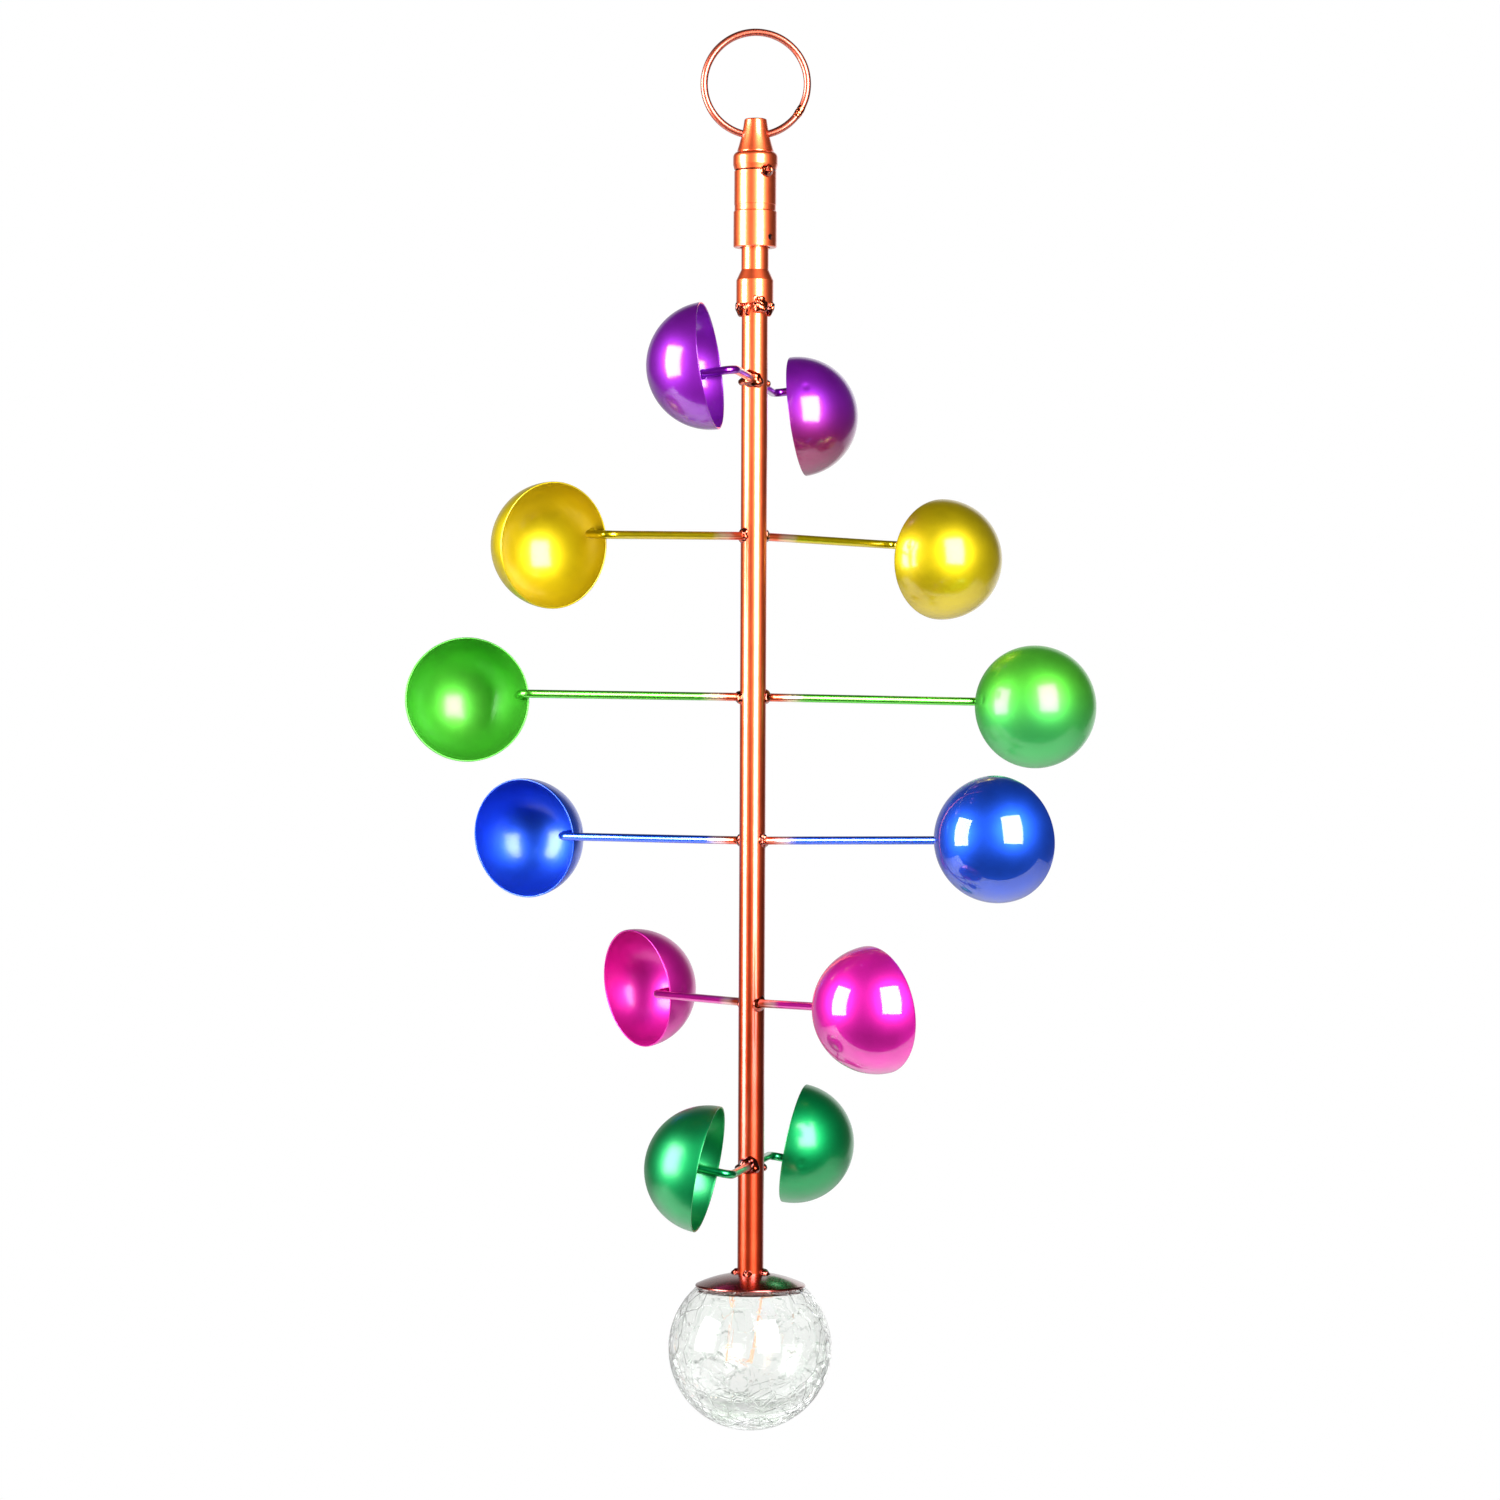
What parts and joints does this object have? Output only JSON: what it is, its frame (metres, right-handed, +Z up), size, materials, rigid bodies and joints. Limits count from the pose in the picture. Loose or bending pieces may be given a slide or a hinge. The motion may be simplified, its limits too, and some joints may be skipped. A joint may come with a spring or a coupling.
{
  "type": "wind chime",
  "caption": "Hanging spinner: ring and ball-bearing swivel over a tall copper-coloured pole with spiralling tiers of paired coloured wind cups, ending in a crackle-glass globe.",
  "frame": {"origin": "inner top of the hanging ring, where the hook touches it, on the pole's axis", "axes": "+Z up along the pole; the ring lies in the XZ plane; the swivel hole runs along X"},
  "size_m": [0.3348, 0.2499, 0.6783],
  "materials": {
    "copper_finish": "satin metallic copper",
    "copper_strip": "satin copper",
    "crackle_glass": "clear, crackled",
    "bearing_steel": "ground and polished",
    "zinc_steel": "zinc plated",
    "black_steel": "black oxide",
    "cage_nylon": "moulded nylon",
    "violet_paint": "candy metallic paint",
    "yellow_paint": "candy metallic paint",
    "green_paint": "candy metallic paint",
    "blue_paint": "candy metallic paint",
    "pink_paint": "candy metallic paint",
    "emerald_paint": "candy metallic paint"
  },
  "bodies": {
    "ring": {"hanging_ring": "copper_finish", "ring_seam_weld": "copper_finish"},
    "swivel": {"swivel_nose": "copper_finish", "nose_tack_welds": "copper_finish", "swivel_sleeve": "copper_finish", "bearing_collar": "copper_finish", "collar_grub_screw": "black_steel", "bearing_outer_race": "bearing_steel", "bearing_shields": "bearing_steel"},
    "ball_cage": {"bearing_cage": "cage_nylon", "bearing_balls": "bearing_steel"},
    "rotor": {"bearing_inner_race": "bearing_steel", "spindle_bolt": "zinc_steel", "spindle_washer": "zinc_steel", "spindle_spacer": "zinc_steel", "coupling": "copper_finish", "coupling_welds": "copper_finish", "pole": "copper_finish", "globe_canopy": "copper_finish", "canopy_welds": "copper_finish", "globe_clip": "copper_strip", "glass_globe": "crackle_glass", "rod_welds": "copper_finish", "violet_rod_1": "violet_paint", "violet_cup_1": "violet_paint", "violet_rod_2": "violet_paint", "violet_cup_2": "violet_paint", "violet_cup_welds": "violet_paint", "yellow_rod_1": "yellow_paint", "yellow_cup_1": "yellow_paint", "yellow_rod_2": "yellow_paint", "yellow_cup_2": "yellow_paint", "yellow_cup_welds": "yellow_paint", "green_rod_1": "green_paint", "green_cup_1": "green_paint", "green_rod_2": "green_paint", "green_cup_2": "green_paint", "green_cup_welds": "green_paint", "blue_rod_1": "blue_paint", "blue_cup_1": "blue_paint", "blue_rod_2": "blue_paint", "blue_cup_2": "blue_paint", "blue_cup_welds": "blue_paint", "pink_rod_1": "pink_paint", "pink_cup_1": "pink_paint", "pink_rod_2": "pink_paint", "pink_cup_2": "pink_paint", "pink_cup_welds": "pink_paint", "emerald_rod_1": "emerald_paint", "emerald_cup_1": "emerald_paint", "emerald_rod_2": "emerald_paint", "emerald_cup_2": "emerald_paint", "emerald_cup_welds": "emerald_paint"}
  },
  "joints": [
    {"name": "hanger_swing", "type": "hinge", "parent": "ring", "child": "swivel", "pos_m": [0, 0, -0.04778], "axis": [1, 0, 0], "range_deg": [-160, 160]},
    {"name": "rotor_spin", "type": "hinge", "parent": "swivel", "child": "rotor", "pos_m": [0, 0, -0.09798], "axis": [0, 0, 1], "continuous": true},
    {"name": "cage_spin", "type": "hinge", "parent": "swivel", "child": "ball_cage", "pos_m": [0, 0, -0.09798], "axis": [0, 0, 1], "continuous": true}
  ],
  "couplings": [
    {"joint": "cage_spin", "follows": "rotor_spin", "ratio": 0.359}
  ]
}
